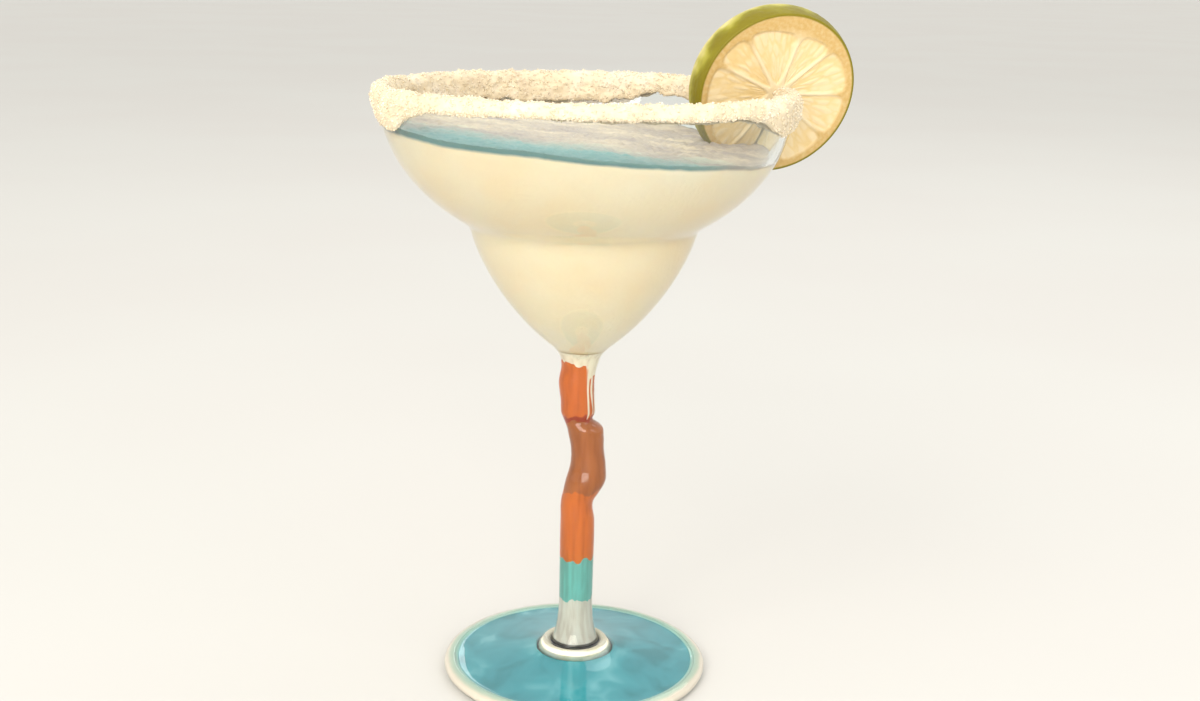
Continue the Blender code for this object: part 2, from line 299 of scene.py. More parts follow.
# The colours in the stem. The glassmaker rolled opaque coloured glass into each
# gather before drawing it: orange at the top, amber in the middle, orange and teal
# below it, milky glass at the bottom. Clear glass cases it. Down the upper stem's
# right side runs a painted highlight in cream.
CORE_TOP = 97.9 * MM
CORE_BOTTOM = 8.7 * MM
CORE_SHARE = 0.87
# Cream for the core's top, and for the painted highlight down the upper stem's right side
CREAM_AND_HIGHLIGHT = "#fdf6e0"
GATHERS = (
    # place from the bottom (0) to the top (1) of 100 mm, colour from there up
    (0.0, "#dcdcd2"),
    (0.222, "#78c6be"),
    (0.344, "#de792e"),
    (0.552, "#ba6e37"),
    (0.766, "#b44825"),
    (0.785, "#dc752e"),
    (0.938, CREAM_AND_HIGHLIGHT),
)
# How far to the right the painted highlight on the upper stem starts and is full, and
# where the orange thread in it lies, with half its width
HIGHLIGHT_SIDE = (1.5 * MM, 1.8 * MM)
HIGHLIGHT_BOTTOM = 78.3 * MM
ORANGE_THREAD = (3.0 * MM, 0.3 * MM)
ORANGE_THREAD_TOP = 90 * MM


def draw_core():
    """The coloured core: it follows the stem's bends and notches inside the clear case."""
    side = stem_side()
    rings = [ring_at(0, CORE_TOP)]
    for height in np.linspace(CORE_TOP, CORE_BOTTOM, 300):
        uneven = 1 + 0.02 * noise.noise((0.3, 0.2, height / (5 * MM)))
        radius = CORE_SHARE * uneven * float(radius_at(side, height))
        rings.append(ring_at(radius, height, sideways(height), turns=64))
    return skin("stem_core", rings + [ring_at(0, CORE_BOTTOM)])


def drawn_glass():
    """Opaque coloured glass, drawn out hot: colours meet at ragged ends, and streaks run
    along the stem about 1.4 mm apart, with a painted highlight in cream down the upper
    stem's right side. Cased in clear glass, it looks deeper than it is."""
    made, shader = finish_of("drawn_glass")
    where = put(made, "TexCoord").outputs["Object"]
    drawn = put(made, "Mapping", {"Vector": where, "Scale": (1, 1, 0.1)}).outputs[0]
    pattern_sockets = {"Vector": drawn, "Scale": 1 / (1.4 * MM), "Detail": 3.0}
    streaks = put(made, "TexNoise", pattern_sockets).outputs[0]
    axes = put(made, "SeparateXYZ", {0: where})
    fingers = {"Vector": drawn, "Scale": 1 / (2.2 * MM), "Detail": 1.0}
    ragged_by = put(made, "TexNoise", fingers).outputs[0]
    ends = {"Value": ragged_by, "From Min": 0.3, "From Max": 0.7, "To Min": -0.9 * MM}
    offset = put(made, "MapRange", ends | {"To Max": 0.9 * MM}).outputs[0]
    height = put(made, "Math", {0: axes.outputs["Z"], 1: offset}, operation="ADD").outputs[0]
    share = {"Value": height, "From Max": 100 * MM}
    place = put(made, "MapRange", share).outputs[0]
    gathers = put(made, "ValToRGB", {"Fac": place}, stops=GATHERS)
    gathers.color_ramp.interpolation = "CONSTANT"
    right = {0: axes.outputs["X"], 1: offset}
    across = put(made, "Math", right, operation="ADD").outputs[0]
    # A painted highlight in cream down the upper stem's right side, split by an orange thread
    highlight_from = {"Value": across, "From Min": HIGHLIGHT_SIDE[0], "From Max": HIGHLIGHT_SIDE[1]}
    highlight_on_right = put(made, "MapRange", highlight_from).outputs[0]
    thread_at = {0: across, 1: ORANGE_THREAD[0], 2: ORANGE_THREAD[1]}
    thread = put(made, "Math", thread_at, operation="COMPARE").outputs[0]
    below = {0: height, 1: ORANGE_THREAD_TOP}
    low = put(made, "Math", below, operation="LESS_THAN").outputs[0]
    thread = put(made, "Math", {0: thread, 1: low}, operation="MULTIPLY").outputs[0]
    painted_highlight = put(made, "Math", {0: highlight_on_right, 1: thread}, operation="SUBTRACT").outputs[0]
    above = {0: height, 1: HIGHLIGHT_BOTTOM}
    high = put(made, "Math", above, operation="GREATER_THAN").outputs[0]
    painted_highlight = put(made, "Math", {0: painted_highlight, 1: high}, operation="MULTIPLY").outputs[0]
    highlight_over_gathers = {0: painted_highlight, 6: gathers.outputs[0], 7: linear(CREAM_AND_HIGHLIGHT)}
    coloured = put(made, "Mix", highlight_over_gathers, data_type="RGBA").outputs[2]
    tone_stops = ((0.36, "#e4dcd6"), (0.5, "#f8f5f2"), (0.62, "#ffffff"))
    tone = put(made, "ValToRGB", {"Fac": streaks}, stops=tone_stops).outputs[0]
    deep = {0: 0.75, 6: coloured, 7: tone}
    colour = put(made, "Mix", deep, data_type="RGBA", blend_type="MULTIPLY").outputs[2]
    feed(made, shader, Base_Color=colour)
    return cased(made, shader)


def cased(made, shader):
    """Nothing shines on glass that clear glass cases, so its own gloss is left out."""
    shader.inputs["Roughness"].default_value = 0.5
    shader.inputs["Specular IOR Level"].default_value = 0.0
    return made


stem_core = draw_core()
stem_core.data.materials.append(drawn_glass())
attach(stem_core, "root")

# The glass inside the foot. A gather of teal was spun out flat inside the clear
# foot, from the collar nearly to the lip. A pale band in the lip is a painted
# highlight, and a cream ring in the collar, where the foot was joined to the stem,
# is painted light for the pale floor seen through the clear collar.
TEAL_START = 11.4 * MM
TEAL_END = 35.0 * MM
INNER_BULGE = (1.1 * MM, 3.2 * MM)
OUTER_BULGE = (0.7 * MM, 1.9 * MM)
FOOT_COVER = 0.45 * MM
FOOT_FLOOR = 0.8 * MM
LIP_START = 34.5 * MM
LIP_END = 38.4 * MM
LIP_BOTTOM = 1.2 * MM
COLLAR_CREST = (8.95 * MM, 6.2 * MM)
COLLAR_HALF = (1.3 * MM, 2.3 * MM)


def spin_teal():
    """A thin disc with a hole, half a millimetre under the foot's surface. Both of its
    edges bulge a little, by the first number of each pair at the height of the second."""
    upper = [(r, z - FOOT_COVER) for r, z in foot_curve(6) if TEAL_START < r < TEAL_END]
    start, end = upper[0][0], upper[-1][0]
    inner = [(start - INNER_BULGE[0], INNER_BULGE[1])]
    outer = [(end + OUTER_BULGE[0], OUTER_BULGE[1])]
    lower = [(end, FOOT_FLOOR), (start, FOOT_FLOOR)]
    rings = [ring_at(r, z) for r, z in inner + upper + outer + lower]
    return skin("foot_teal", rings, loop=True)


def spun_teal_glass():
    """Teal glass spun out from the middle: broad arcs of darker and lighter teal, about
    9 mm wide and drawn round the foot; the lighter teal is painted highlight, laid at random."""
    made, shader = finish_of("spun_teal_glass")
    where = put(made, "TexCoord").outputs["Object"]
    sway = put(made, "TexNoise", {"Vector": where, "Scale": 1 / (22 * MM), "Detail": 2.0})
    shift = {0: sway.outputs["Color"], 1: (0.03, 0.03, 0.0)}
    bent = put(made, "VectorMath", shift, operation="MULTIPLY")
    place = put(made, "VectorMath", {0: where, 1: bent.outputs[0]}, operation="ADD")
    arcs = {"Vector": place.outputs[0], "Scale": 1 / (9 * MM), "Detail": 3.0, "Roughness": 0.4}
    pattern = put(made, "TexNoise", arcs)
    # The lightest stops are painted highlight, scattered at random with the teal
    stops = ((0.30, "#3f9ba6"), (0.45, "#4eaeba"), (0.58, "#56b7c2"), (0.72, "#80ccd4"))
    colour = put(made, "ValToRGB", {"Fac": pattern.outputs[0]}, stops=stops)
    feed(made, shader, Base_Color=colour.outputs[0])
    return cased(made, shader)


def lay_lip_highlight():
    """The pale band in the lip that holds the painted highlight; the teal disc runs into it."""
    top = [p for p in foot_curve(6) if p[0] > LIP_START and p[1] > LIP_BOTTOM]
    section = [(top[0][0], top[0][1] - FOOT_COVER)] + inset(top, FOOT_COVER)[1:]
    section += [(section[-1][0], FOOT_FLOOR), (section[0][0], FOOT_FLOOR)]
    return skin("lip_highlight_band", [ring_at(r, z) for r, z in section], loop=True)


def off_axis(made, where):
    """The distance of each point from the axis, as a node's output."""
    flat = put(made, "VectorMath", {0: where, 1: (1, 1, 0)}, operation="MULTIPLY")
    return put(made, "VectorMath", {0: flat.outputs[0]}, operation="LENGTH").outputs["Value"]


def lip_highlight_glass():
    """A painted highlight where the clear lip catches the light, in three pale bands side
    by side: aqua inside, then grey-green, then cream, each a little uneven over about 6 mm."""
    made, shader = finish_of("lip_highlight_glass")
    where = put(made, "TexCoord").outputs["Object"]
    out = off_axis(made, where)
    uneven = put(made, "TexNoise", {"Vector": where, "Scale": 1 / (6 * MM), "Detail": 2.0})
    sway = {"Value": uneven.outputs[0], "To Min": -0.6 * MM, "To Max": 0.6 * MM}
    swayed = {0: out, 1: put(made, "MapRange", sway).outputs[0]}
    place = put(made, "Math", swayed, operation="ADD").outputs[0]
    across = {"Value": place, "From Min": LIP_START, "From Max": LIP_END}
    stops = ((0.1, "#b5e8dc"), (0.38, "#bfd9c9"), (0.64, "#d3dfcc"), (0.84, "#f8ecdc"))
    pattern_sockets = {"Fac": put(made, "MapRange", across).outputs[0]}
    feed(made, shader, Base_Color=put(made, "ValToRGB", pattern_sockets, stops=stops).outputs[0])
    return cased(made, shader)


def lay_collar():
    """The ring in the collar: round on top, straight down to near the foot's underside."""
    (radius, height), (half_wide, half_high) = COLLAR_CREST, COLLAR_HALF
    section = [
        (radius + half_wide * math.cos(a), height + half_high * math.sin(a))
        for a in np.linspace(math.pi, 0, 16)
    ]
    section += [(section[-1][0], FOOT_FLOOR), (section[0][0], FOOT_FLOOR)]
    return skin("collar_ring", [ring_at(r, z, turns=96) for r, z in section], loop=True)


def painted_collar_light():
    """Cream painted in for the pale floor seen through the clear collar, slightly cloudy
    over about 5 mm where the glass was worked hot.
    """
    made, shader = finish_of("painted_collar_light")
    where = put(made, "TexCoord").outputs["Object"]
    clouds = put(made, "TexNoise", {"Vector": where, "Scale": 1 / (5 * MM), "Detail": 3.0})
    stops = ((0.36, "#e6dfc4"), (0.5, "#f2ead4"), (0.64, "#f3efdf"))
    colour = put(made, "ValToRGB", {"Fac": clouds.outputs[0]}, stops=stops)
    feed(made, shader, Base_Color=colour.outputs[0])
    return cased(made, shader)


for piece, finish in (
    (spin_teal(), spun_teal_glass()),
    (lay_lip_highlight(), lip_highlight_glass()),
    (lay_collar(), painted_collar_light()),
):
    piece.data.materials.append(finish)
    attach(piece, "root")

# The drink. Tequila, lime and orange liqueur blended with ice: a pale, opaque
# cream that fills both parts of the bowl. It is slushy, so its top is lumpy and
# lies a little higher on the left. It wets the glass, so it meets it with no gap.
LEVEL_HEIGHT = 158.2 * MM
LEVEL_SLOPE = -0.077
SLUSH_BUMP = 0.7 * MM
SLUSH_SPACING = 13 * MM
CURD = 0.9 * MM
CURD_SPACING = 3.4 * MM
DRINK_TURNS = 400
WET_INTO_WALL = 0.25 * MM
CLIMB = 0.8 * MM
CLIMB_WIDTH = 1.3 * MM
STRETCH_FROM = 140 * MM


def at_azimuth(radius, azimuth, height):
    """A point at a distance from the axis, in a direction round it."""
    return radius * math.cos(azimuth), radius * math.sin(azimuth), height


def level_at(x, y):
    """Height of the slushy top, without its small curds."""
    bump = noise.noise(Vector((x, y, 0.02)) / SLUSH_SPACING) * SLUSH_BUMP
    return LEVEL_HEIGHT + LEVEL_SLOPE * x + bump


def curds_at(x, y):
    """Rounded curds of ice, as the cells of a Voronoi pattern with their edges sunk."""
    place = Vector((x, y, 0)) / CURD_SPACING
    nearest, second = noise.voronoi(place)[0][:2]
    return CURD * (min(0.5, second - nearest) - 0.25 + 0.5 * noise.noise(place * 2.3))


def edge_of_drink(wall, azimuth):
    """The radius and height at which the drink's top meets the wall."""
    height = LEVEL_HEIGHT
    for _ in range(30):
        radius = float(radius_at(wall, height))
        height = level_at(*at_azimuth(radius, azimuth, 0)[:2])
    return radius, height


def pour_drink():
    """The top from the middle out to the glass, then down the wall to the bottom."""
    wall = bowl_inside(WALL - WET_INTO_WALL)
    azimuths = np.linspace(0, 2 * math.pi, DRINK_TURNS, endpoint=False)
    edges = [edge_of_drink(wall, a) for a in azimuths]
    rings = [[(0, 0, level_at(0, 0) + curds_at(0, 0))]]
    for share in np.linspace(0, 1, 110)[1:]:
        ring = []
        for azimuth, (edge, _) in zip(azimuths, edges):
            x, y, _ = at_azimuth(share * edge, azimuth, 0)
            climb = CLIMB * math.exp(-(1 - share) * edge / CLIMB_WIDTH)
            calm = 1 - 0.7 * share**20
            ring.append((x, y, level_at(x, y) + calm * curds_at(x, y) + climb))
        rings.append(ring)
    for radius, height in wall:
        if height > LEVEL_HEIGHT - 2 * MM:
            continue
        ring = []
        for azimuth, (_, edge_height) in zip(azimuths, edges):
            lower, r = height, radius
            if height > STRETCH_FROM:
                share = (height - STRETCH_FROM) / (LEVEL_HEIGHT - STRETCH_FROM)
                lower = STRETCH_FROM + share * (edge_height - STRETCH_FROM)
                r = float(radius_at(wall, lower))
            ring.append(at_azimuth(r, azimuth, lower))
        rings.append(ring if radius > MM / 1000 else [(0, 0, height)])
    return skin("drink", rings)


def creamy_slush():
    """Blended ice and lime: soft cream with fine crystals, about 1.2 mm, and a wet sheen.
    Its top is painted shade, grey, turning teal towards the front, as the tinted glass would."""
    made, shader = finish_of("creamy_slush")
    where = put(made, "TexCoord").outputs["Object"]
    clouds = put(made, "TexNoise", {"Vector": where, "Scale": 1 / (30 * MM), "Detail": 3.0})
    body_stops = ((0.35, "#ffe9c6"), (0.5, "#ffeed0"), (0.66, "#fff2da"))
    body = put(made, "ValToRGB", {"Fac": clouds.outputs[0]}, stops=body_stops)
    # Painted shade for the top: grey with paler streaks, turning teal towards the front
    shade_swirl_at = put(made, "Mapping", {"Vector": where, "Scale": (0.7, 1.1, 1)}).outputs[0]
    grainy = {"Detail": 7.0, "Roughness": 0.62}
    shade_swirls = put(made, "TexNoise", {"Vector": shade_swirl_at, "Scale": 1 / (11 * MM)} | grainy)
    top_shade_stops = ((0.34, "#a19893"), (0.5, "#b3a89b"), (0.62, "#c8bca8"), (0.74, "#ddd0b8"))
    top = put(made, "ValToRGB", {"Fac": shade_swirls.outputs[0]}, stops=top_shade_stops)
    towards = {0: where, 1: (-0.3, -1, 0)}
    near = put(made, "VectorMath", towards, operation="DOT_PRODUCT").outputs["Value"]
    sway = {"Value": shade_swirls.outputs[0], "To Min": -25 * MM, "To Max": 25 * MM}
    swayed = {0: near, 1: put(made, "MapRange", sway).outputs[0]}
    front = put(made, "Math", swayed, operation="ADD").outputs[0]
    teal_shade_from = {"Value": front, "From Min": 14 * MM, "From Max": 44 * MM, "To Max": 0.95}
    teal_shade_share = put(made, "MapRange", teal_shade_from, interpolation_type="SMOOTHSTEP").outputs[0]
    teal_shade_mix = {0: teal_shade_share, 6: top.outputs[0], 7: linear("#76a3a4")}
    teal_shaded_top = put(made, "Mix", teal_shade_mix, data_type="RGBA")
    # The painted shade goes only where the surface faces up; the sides keep the cream
    facing = put(made, "NewGeometry").outputs["Normal"]
    up = put(made, "SeparateXYZ", {0: facing}).outputs["Z"]
    top_shade_mask = {"Value": up, "From Min": 0.1, "From Max": 0.45}
    top_shade_share = put(made, "MapRange", top_shade_mask)
    whole = {0: top_shade_share.outputs[0], 6: body.outputs[0], 7: teal_shaded_top.outputs[2]}
    colour = put(made, "Mix", whole, data_type="RGBA")
    crystals = {"Vector": where, "Scale": 1 / (1.2 * MM), "Detail": 2.0}
    fine = put(made, "TexNoise", crystals)
    bump = {"Height": fine.outputs[0], "Strength": 0.4, "Distance": 0.4 * MM}
    rough = put(made, "MapRange", {"Value": fine.outputs[0], "To Min": 0.35, "To Max": 0.6})
    icy = put(made, "Bump", bump)
    feed(
        made,
        shader,
        Base_Color=colour.outputs[2],
        Normal=icy.outputs[0],
        Roughness=rough.outputs[0],
    )
    shader.inputs["Subsurface Weight"].default_value = 0.25
    shader.inputs["Subsurface Radius"].default_value = (1.0, 0.8, 0.5)
    shader.inputs["Subsurface Scale"].default_value = 3 * MM
    shader.inputs["IOR"].default_value = 1.35
    shader.inputs["Specular IOR Level"].default_value = 0.08
    return made


drink = pour_drink()
drink.data.materials.append(creamy_slush())
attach(drink, "root")
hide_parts("margarita")

# The lime wheel. One slice across a lime, 9 mm thick: a waxy green rind, a tan
# ring of pith, and nine uneven cells of pale juice sacs between thin walls. It
# is slit to the middle and pushed over the rim, so it hangs there, leaning.
LIME_RADIUS = 24.1 * MM
LIME_FACE_RADIUS = 23.3 * MM
LIME_THICKNESS = 9 * MM
LIME_AZIMUTH = math.radians(17)
LIME_LEAN = math.radians(16)
LIME_FROM_AXIS = 54.8 * MM
LIME_HEIGHT = 171.2 * MM
MEMBRANE_ANGLES = [40 * i + math.degrees(0.09 * math.sin(2.7 * i)) for i in range(9)]
MEMBRANE = 1.1 * MM
CELL_INNER = 2.4 * MM
CELL_OUTER = 20.8 * MM
# The tan band round the cells is wider by this much towards the top, most at this angle in degrees
TAN_BAND_WIDENING = 3.3 * MM
TAN_BAND_WIDEST_AT = 78
CELL_DEPTH = 0.45 * MM
SAC_HEIGHT = 0.16 * MM
ZEST = (22.5 * MM, 22.9 * MM)
LIME_TURNS = 300
FACE_RINGS = 66
SLOT_PLAY = 0.12 * MM
lime_place = Matrix.Translation(at_azimuth(LIME_FROM_AXIS, LIME_AZIMUTH, LIME_HEIGHT))
lime_place = lime_place @ Matrix.Rotation(LIME_AZIMUTH, 4, "Z")
lime_place = lime_place @ Matrix.Rotation(math.pi / 2 + LIME_LEAN, 4, "X")


def cell_depth(radius, angle):
    """How far a point is inside a juice cell: 0 on a wall or the pith, 1 well inside."""
    turn = math.degrees(angle) % 360
    gap = min(min(abs(turn - m), 360 - abs(turn - m)) for m in MEMBRANE_ANGLES)
    side = radius * math.sin(math.radians(min(gap, 90))) - MEMBRANE / 2
    off_top = abs(turn - TAN_BAND_WIDEST_AT)
    off_top = min(off_top, 360 - off_top)
    outer = CELL_OUTER - TAN_BAND_WIDENING * math.exp(-((off_top / 38) ** 2)) - radius
    inner = radius - CELL_INNER
    soft = 1.1 * MM
    nearest = -soft * math.log(sum(math.exp(-d / soft) for d in (side, outer, inner)))
    t = max(0.0, min(1.0, nearest / (0.7 * MM) + 0.6))
    return t * t * (3 - 2 * t)


def sacs_at(radius, angle):
    """Juice sacs: long drops that point to the middle, as stretched Voronoi cells."""
    place = Vector((radius / (5.5 * MM), angle * 9, 0))
    nearest, second = noise.voronoi(place)[0][:2]
    return min(0.6, second - nearest)


def lime_rings():
    """Rings in the wheel's own frame, from the front's middle round to the back's."""
    half = LIME_THICKNESS / 2
    angles = np.linspace(0, 2 * math.pi, LIME_TURNS, endpoint=False)
    faces = {}
    for side in (1, -1):
        faces[side] = []
        for share in np.linspace(0, 1, FACE_RINGS + 1):
            radius = share * LIME_FACE_RADIUS
            ring = []
            for angle in angles if radius else angles[:1]:
                inside = cell_depth(radius, angle) if radius else 0.0
                sac = SAC_HEIGHT * (2 * sacs_at(radius, side * angle + side) - 0.5)
                height = half - inside * (CELL_DEPTH - sac)
                ring.append(at_azimuth(radius, angle, side * height))
            faces[side].append(ring)
    rind = []
    for tilt in np.linspace(-1, 1, 26)[1:-1]:
        ring = []
        for angle in angles:
            bulge = LIME_RADIUS - (LIME_RADIUS - LIME_FACE_RADIUS) * tilt * tilt
            pore = noise.noise(Vector((math.cos(angle) * 22, math.sin(angle) * 22, tilt * 4)))
            radius = bulge + 0.12 * MM * pore * (1 - tilt * tilt)
            ring.append(at_azimuth(radius, angle, -tilt * half))
        rind.append(ring)
    return faces[1] + rind + faces[-1][::-1]


def lime_disc(name, grow):
    """A plain disc as large as the wheel and more by grow, to cut others by."""
    edge, half = LIME_RADIUS + grow, LIME_THICKNESS / 2 + grow
    shoulder = LIME_FACE_RADIUS + grow
    outline = [(0, half), (shoulder, half), (edge, 0), (shoulder, -half), (0, -half)]
    disc = skin(name, [ring_at(r, z, turns=96) for r, z in outline])
    disc.matrix_world = lime_place
    return disc


def cut_away(piece, cutter):
    """Cuts one mesh by another for good, and removes the cutter."""
    boolean = piece.modifiers.new("cut", "BOOLEAN")
    boolean.operation = "DIFFERENCE"
    boolean.solver = "EXACT"
    boolean.object = cutter
    graph = bpy.context.evaluated_depsgraph_get()
    cut = bpy.data.meshes.new_from_object(piece.evaluated_get(graph))
    piece.modifiers.clear()
    piece.data = cut
    bpy.data.objects.remove(cutter)


def cut_slot(wheel):
    """Slits the wheel where the bowl's wall passes through it."""
    outside = [p for p in inset(bowl_outside(), -SLOT_PLAY) if p[1] > LOWER_BOWL_TOP[1]]
    inside = [p for p in inset(bowl_outside(), WALL + SLOT_PLAY) if p[1] > LOWER_BOWL_TOP[1]]
    above = RIM_HEIGHT + 0.3 * MM
    top = [(RIM_RADIUS - WALL - SLOT_PLAY, above), (RIM_RADIUS + SLOT_PLAY, above)]
    rings = [ring_at(r, z) for r, z in top + outside + inside[::-1]]
    cut_away(wheel, skin("bowl_wall_cutter", rings, loop=True))


def flesh_colours(made, where, out, inside):
    """Zones of the cut face by place: juice sacs, the walls between cells, and pith."""
    sac = put(made, "Attribute", attribute_name="sac").outputs["Fac"]
    clouds = put(made, "TexNoise", {"Vector": where, "Scale": 1 / (7 * MM), "Detail": 3.0})
    mixed = put(made, "Math", {0: sac, 1: clouds.outputs[0]}, operation="ADD")
    sac_stops = ((0.35, "#cdb27c"), (0.6, "#d2b987"), (0.85, "#d5c199"))
    juice = put(made, "ValToRGB", {"Fac": mixed.outputs[0]}, stops=sac_stops)
    fibre = put(made, "TexNoise", {"Vector": where, "Scale": 1 / (1.1 * MM), "Detail": 3.0})
    pith_stops = ((0.35, "#b7985d"), (0.5, "#bc9d65"), (0.68, "#bfa776"))
    pith = put(made, "ValToRGB", {"Fac": fibre.outputs[0]}, stops=pith_stops)
    core = {"Value": out, "From Min": 15 * MM, "From Max": 19.5 * MM}
    outward = put(made, "MapRange", core)
    walls = {0: outward.outputs[0], 6: linear("#d5c4a1"), 7: pith.outputs[0]}
    dry = put(made, "Mix", walls, data_type="RGBA")
    cut_face = {0: inside, 6: dry.outputs[2], 7: juice.outputs[0]}
    return put(made, "Mix", cut_face, data_type="RGBA").outputs[2]


def peel_colours(made, where):
    """Rind with painted light: dark green near the front face, and paler and yellower
    towards the back as a painted highlight.
    """
    blotch = put(made, "TexNoise", {"Vector": where, "Scale": 1 / (9 * MM), "Detail": 2.0})
    depth = put(made, "SeparateXYZ", {0: where}).outputs["Z"]
    half = LIME_THICKNESS / 2
    across = {"Value": depth, "From Min": -half, "From Max": half, "To Max": 0.6}
    shade = {0: put(made, "MapRange", across).outputs[0], 1: blotch.outputs[0]}
    # Painted highlight: paler and yellower towards the back edge, darker by the front face
    peel_light_share = put(made, "Math", shade, operation="ADD").outputs[0]
    stops = ((0.5, "#cbc07c"), (0.68, "#a39c3c"), (0.84, "#7f7812"), (1.0, "#746a06"))
    return put(made, "ValToRGB", {"Fac": peel_light_share}, stops=stops).outputs[0]


def cut_lime():
    """Fresh lime: wet, slightly clear flesh with a sheen, drier pith, and waxy peel with
    oil pores about 1.3 mm apart."""
    made, shader = finish_of("cut_lime")
    where = put(made, "TexCoord").outputs["Object"]
    out = off_axis(made, where)
    inside = put(made, "Attribute", attribute_name="cell").outputs["Fac"]
    flesh = flesh_colours(made, where, out, inside)
    peel = peel_colours(made, where)
    zest = {"Value": out, "From Min": ZEST[0], "From Max": ZEST[1]}
    all_over = {0: put(made, "MapRange", zest).outputs[0], 6: flesh, 7: peel}
    colour = put(made, "Mix", all_over, data_type="RGBA")
    pores = put(made, "TexVoronoi", {"Vector": where, "Scale": 1 / (1.3 * MM)})
    skin_bump = {"Height": pores.outputs["Distance"], "Strength": 0.25, "Distance": 0.25 * MM}
    bumpy = put(made, "Bump", skin_bump)
    wet = {"Value": inside, "To Min": 0.55, "To Max": 0.3}
    rough = put(made, "MapRange", wet)
    feed(
        made,
        shader,
        Base_Color=colour.outputs[2],
        Normal=bumpy.outputs[0],
        Roughness=rough.outputs[0],
    )
    shader.inputs["Specular IOR Level"].default_value = 0.3
    shader.inputs["Subsurface Weight"].default_value = 0.12
    shader.inputs["Subsurface Radius"].default_value = (1.0, 0.9, 0.6)
    shader.inputs["Subsurface Scale"].default_value = 1 * MM
    return made


def slice_lime():
    """The wheel in its place, with each point's share of cell and sac kept for its colours."""
    wheel = skin("lime_slice", lime_rings())
    cell = wheel.data.attributes.new("cell", "FLOAT", "POINT")
    sac = wheel.data.attributes.new("sac", "FLOAT", "POINT")
    for i, vertex in enumerate(wheel.data.vertices):
        radius, angle = math.hypot(vertex.co.x, vertex.co.y), math.atan2(vertex.co.y, vertex.co.x)
        side = math.copysign(1, vertex.co.z)
        cell.data[i].value = cell_depth(radius, angle) if radius else 0.0
        sac.data[i].value = sacs_at(radius, side * (angle % (2 * math.pi)) + side)
    wheel.matrix_world = lime_place
    cut_slot(wheel)
    return wheel


cut_away(drink, lime_disc("drink_pocket", -0.2 * MM))
lime = slice_lime()
lime.data.materials.append(cut_lime())
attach(lime, "root")
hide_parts("lime_wheel")

# The salt. The rim was wetted with lime and pressed into coarse salt, which
# clung in a lumpy crust over the edge and down both sides. It is short in front
# and at one place behind, and reaches further down elsewhere.
CRUST_OUTSIDE = 1.5 * MM
CRUST_INSIDE = 1.4 * MM
CRUST_TOP = 2.1 * MM
CRUST_INTO_GLASS = 0.05 * MM
CRUST_TURNS = 640
OVER_RIM = 0.36
UNDER_RIM = 0.2
LUMPS = ((5 * MM, 0.55 * MM), (2.1 * MM, 0.35 * MM), (0.9 * MM, 0.2 * MM))
GRAIN_COUNT = 7000
GRAIN_SIZES = (0.28 * MM, 0.62 * MM)
GRAIN_LIFT = 0.05 * MM
rim_start = RIM_HEIGHT - WALL / 2
rim_middle = RIM_RADIUS - WALL / 2


def skirt_drop(azimuth, outer):
    """How far the crust reaches down the wall on either side."""
    ripple = 0.8 * math.sin(5 * azimuth + 1) + 0.6 * math.sin(11 * azimuth)
    front = front_share(azimuth)
    turn = math.atan2(math.sin(azimuth), math.cos(azimuth))
    patch = math.exp(-(((turn - math.radians(66)) / math.radians(13)) ** 2))
    if outer:
        return (8.2 - 6.3 * front - 4.6 * patch + ripple * 0.7 * (1 - 0.6 * front)) * MM
    left = math.exp(-((math.sin((azimuth - math.pi) / 2) / 0.5) ** 2))
    return (7.4 - 4.8 * front - 3.6 * patch - 2.2 * left + ripple * 0.3) * MM


def front_share(azimuth):
    """1 at the front, where the crust is short, falling to 0 at the sides."""
    t = min(1.0, max(0.0, (-math.sin(azimuth) - 0.42) / 0.35))
    return t * t * (3 - 2 * t)


def ragged(azimuth, outer):
    """Small tongues and bites in the crust's lower edge."""
    place = Vector((math.cos(azimuth), math.sin(azimuth), 3.0 * outer)) * (RIM_RADIUS / MM)
    rough = 1.1 * noise.noise(place / 4) + 0.5 * noise.noise(place / 1.6)
    return rough * (1 - 0.6 * front_share(azimuth)) * MM


def crust_point(azimuth, s):
    """Where the crust's open side lies. s runs from 0, the outer edge, over the top at
    0.5, to 1, the inner edge. Returns radius, height and the outward direction."""
    outer = s < 0.5
    wall = outer_wall if outer else inner_wall
    drop = skirt_drop(azimuth, outer) + ragged(azimuth, outer)
    t = abs(s - 0.5) * 2
    thick = CRUST_OUTSIDE if outer else CRUST_INSIDE
    sign = 1 if outer else -1
    if t < OVER_RIM:
        a = t / OVER_RIM * math.pi / 2
        radius = rim_middle + sign * (WALL / 2 + thick) * math.sin(a)
        height = rim_start + (WALL / 2 + CRUST_TOP) * math.cos(a)
        return radius, height, (sign * math.sin(a), math.cos(a))
    down = (t - OVER_RIM) / (1 - OVER_RIM)
    height = rim_start - down * (drop - WALL / 2)
    taper = math.sqrt(max(0.0, 1 - down**3))
    radius = float(radius_at(wall, height)) + sign * thick * (0.12 + 0.88 * taper)
    return radius, height, (sign, 0)


def lump_at(place, s):
    """The crust's unevenness: lumps, clumps and single grains, less at its two edges."""
    lump = sum(size * noise.noise(place / spacing) for spacing, size in LUMPS)
    return lump * min(1.0, 6 * min(s, 1 - s) + 0.15)


def lumpy_point(azimuth, s):
    """A point of the crust's open side, moved out or in by the lumps there."""
    radius, height, (out, up) = crust_point(azimuth, s)
    lump = lump_at(Vector(at_azimuth(radius, azimuth, height)), s)
    return at_azimuth(radius + out * lump, azimuth, height + up * lump)


